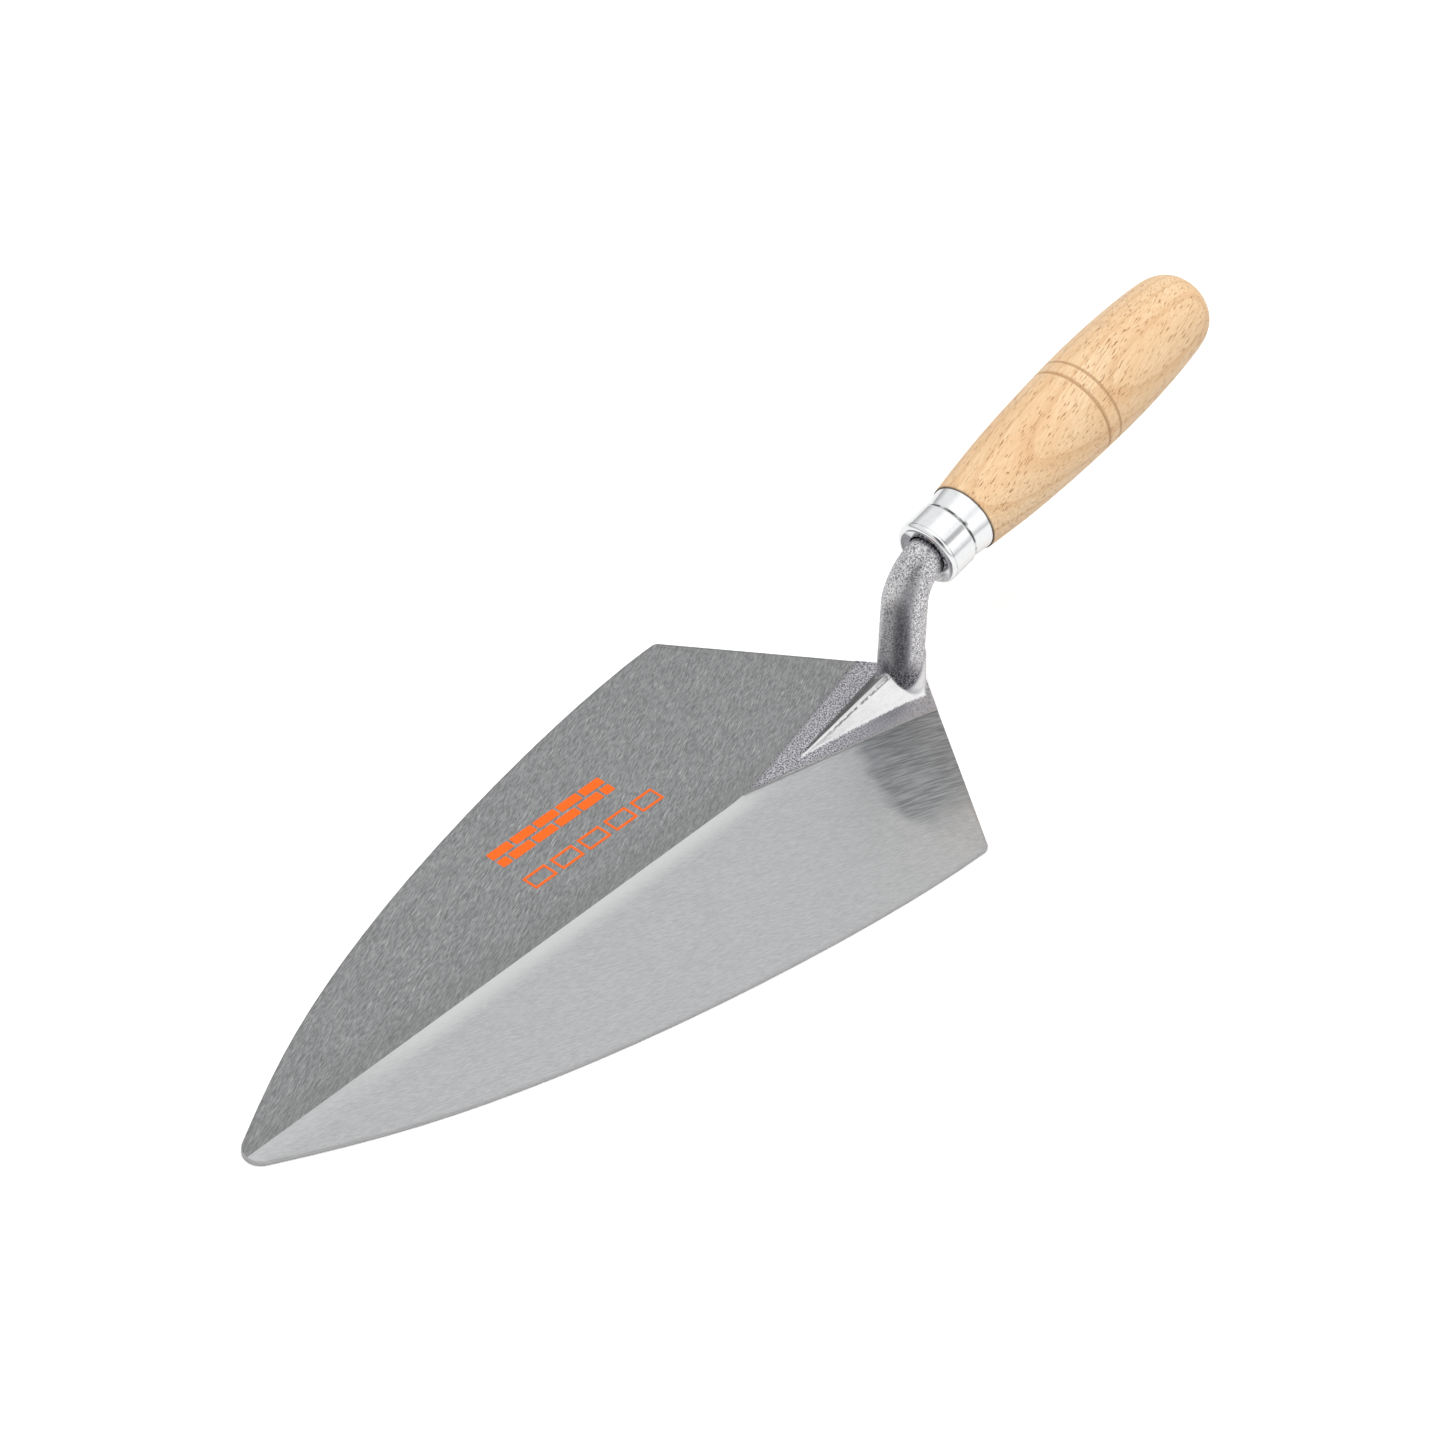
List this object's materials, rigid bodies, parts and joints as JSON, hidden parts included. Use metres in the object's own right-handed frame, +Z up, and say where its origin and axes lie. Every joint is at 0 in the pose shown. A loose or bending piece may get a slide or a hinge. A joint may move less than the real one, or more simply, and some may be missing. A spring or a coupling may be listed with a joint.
{
  "type": "brick trowel",
  "caption": "Pointed brick trowel for spreading mortar: a flat forged steel blade on a gooseneck shank, with a plated ferrule and a turned wooden handle.",
  "frame": {"origin": "on the blade's flat underside, on the centre line below the foot of the shank", "axes": "+X along the blade's centre line to its tip, +Z up away from the flat underside, +Y to the blade's left as seen from the handle"},
  "size_m": [0.395, 0.1238, 0.0891],
  "materials": {
    "forged_steel": "ground satin faces, grit-blasted as-forged shank and band",
    "ferrule_chrome": "polished plating",
    "handle_beech": "turned and sanded pale beech, clear satin lacquer"
  },
  "bodies": {
    "root": {"blade_and_tang": "forged_steel", "ferrule": "ferrule_chrome", "handle": "handle_beech"}
  },
  "joints": []
}
